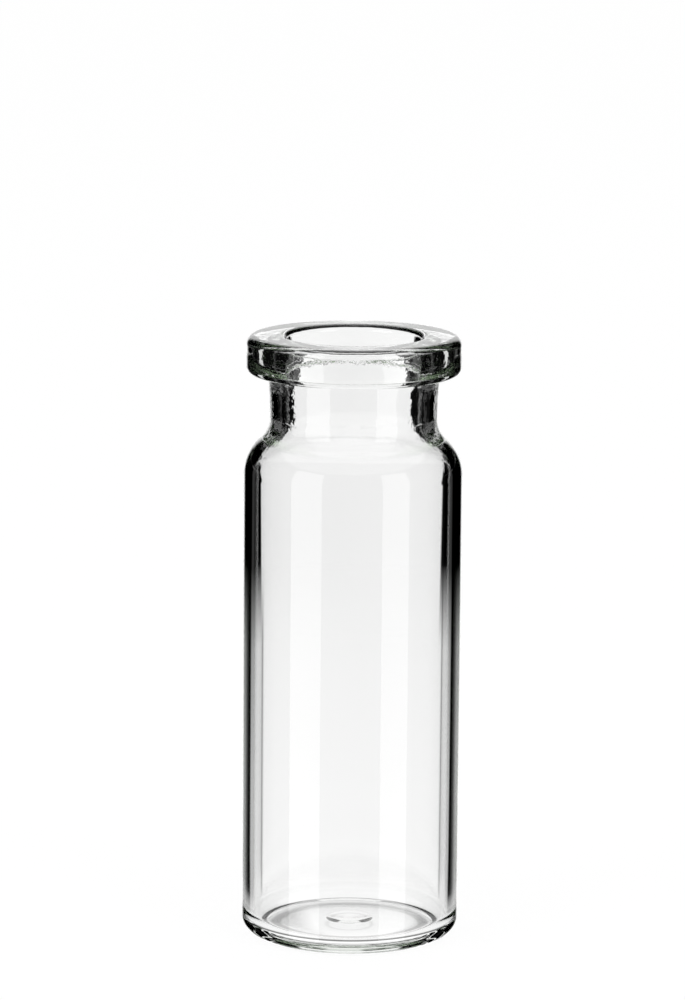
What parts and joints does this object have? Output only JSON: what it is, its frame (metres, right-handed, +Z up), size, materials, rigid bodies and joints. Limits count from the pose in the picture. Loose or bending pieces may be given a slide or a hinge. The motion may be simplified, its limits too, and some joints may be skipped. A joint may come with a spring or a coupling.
{
  "type": "glass sample vial",
  "caption": "Clear glass sample vial with a flat beaded crimp crown, short waisted neck, round shoulder and pushed-up base.",
  "frame": {"origin": "middle of the surface that the vial stands on", "axes": "+Z up along the vial's axis, out of its mouth; X and Y are alike"},
  "size_m": [0.0204, 0.0204, 0.0568],
  "materials": {
    "clear_glass": "clear, fire-polished"
  },
  "bodies": {
    "root": {"vial": "clear_glass"}
  },
  "joints": []
}
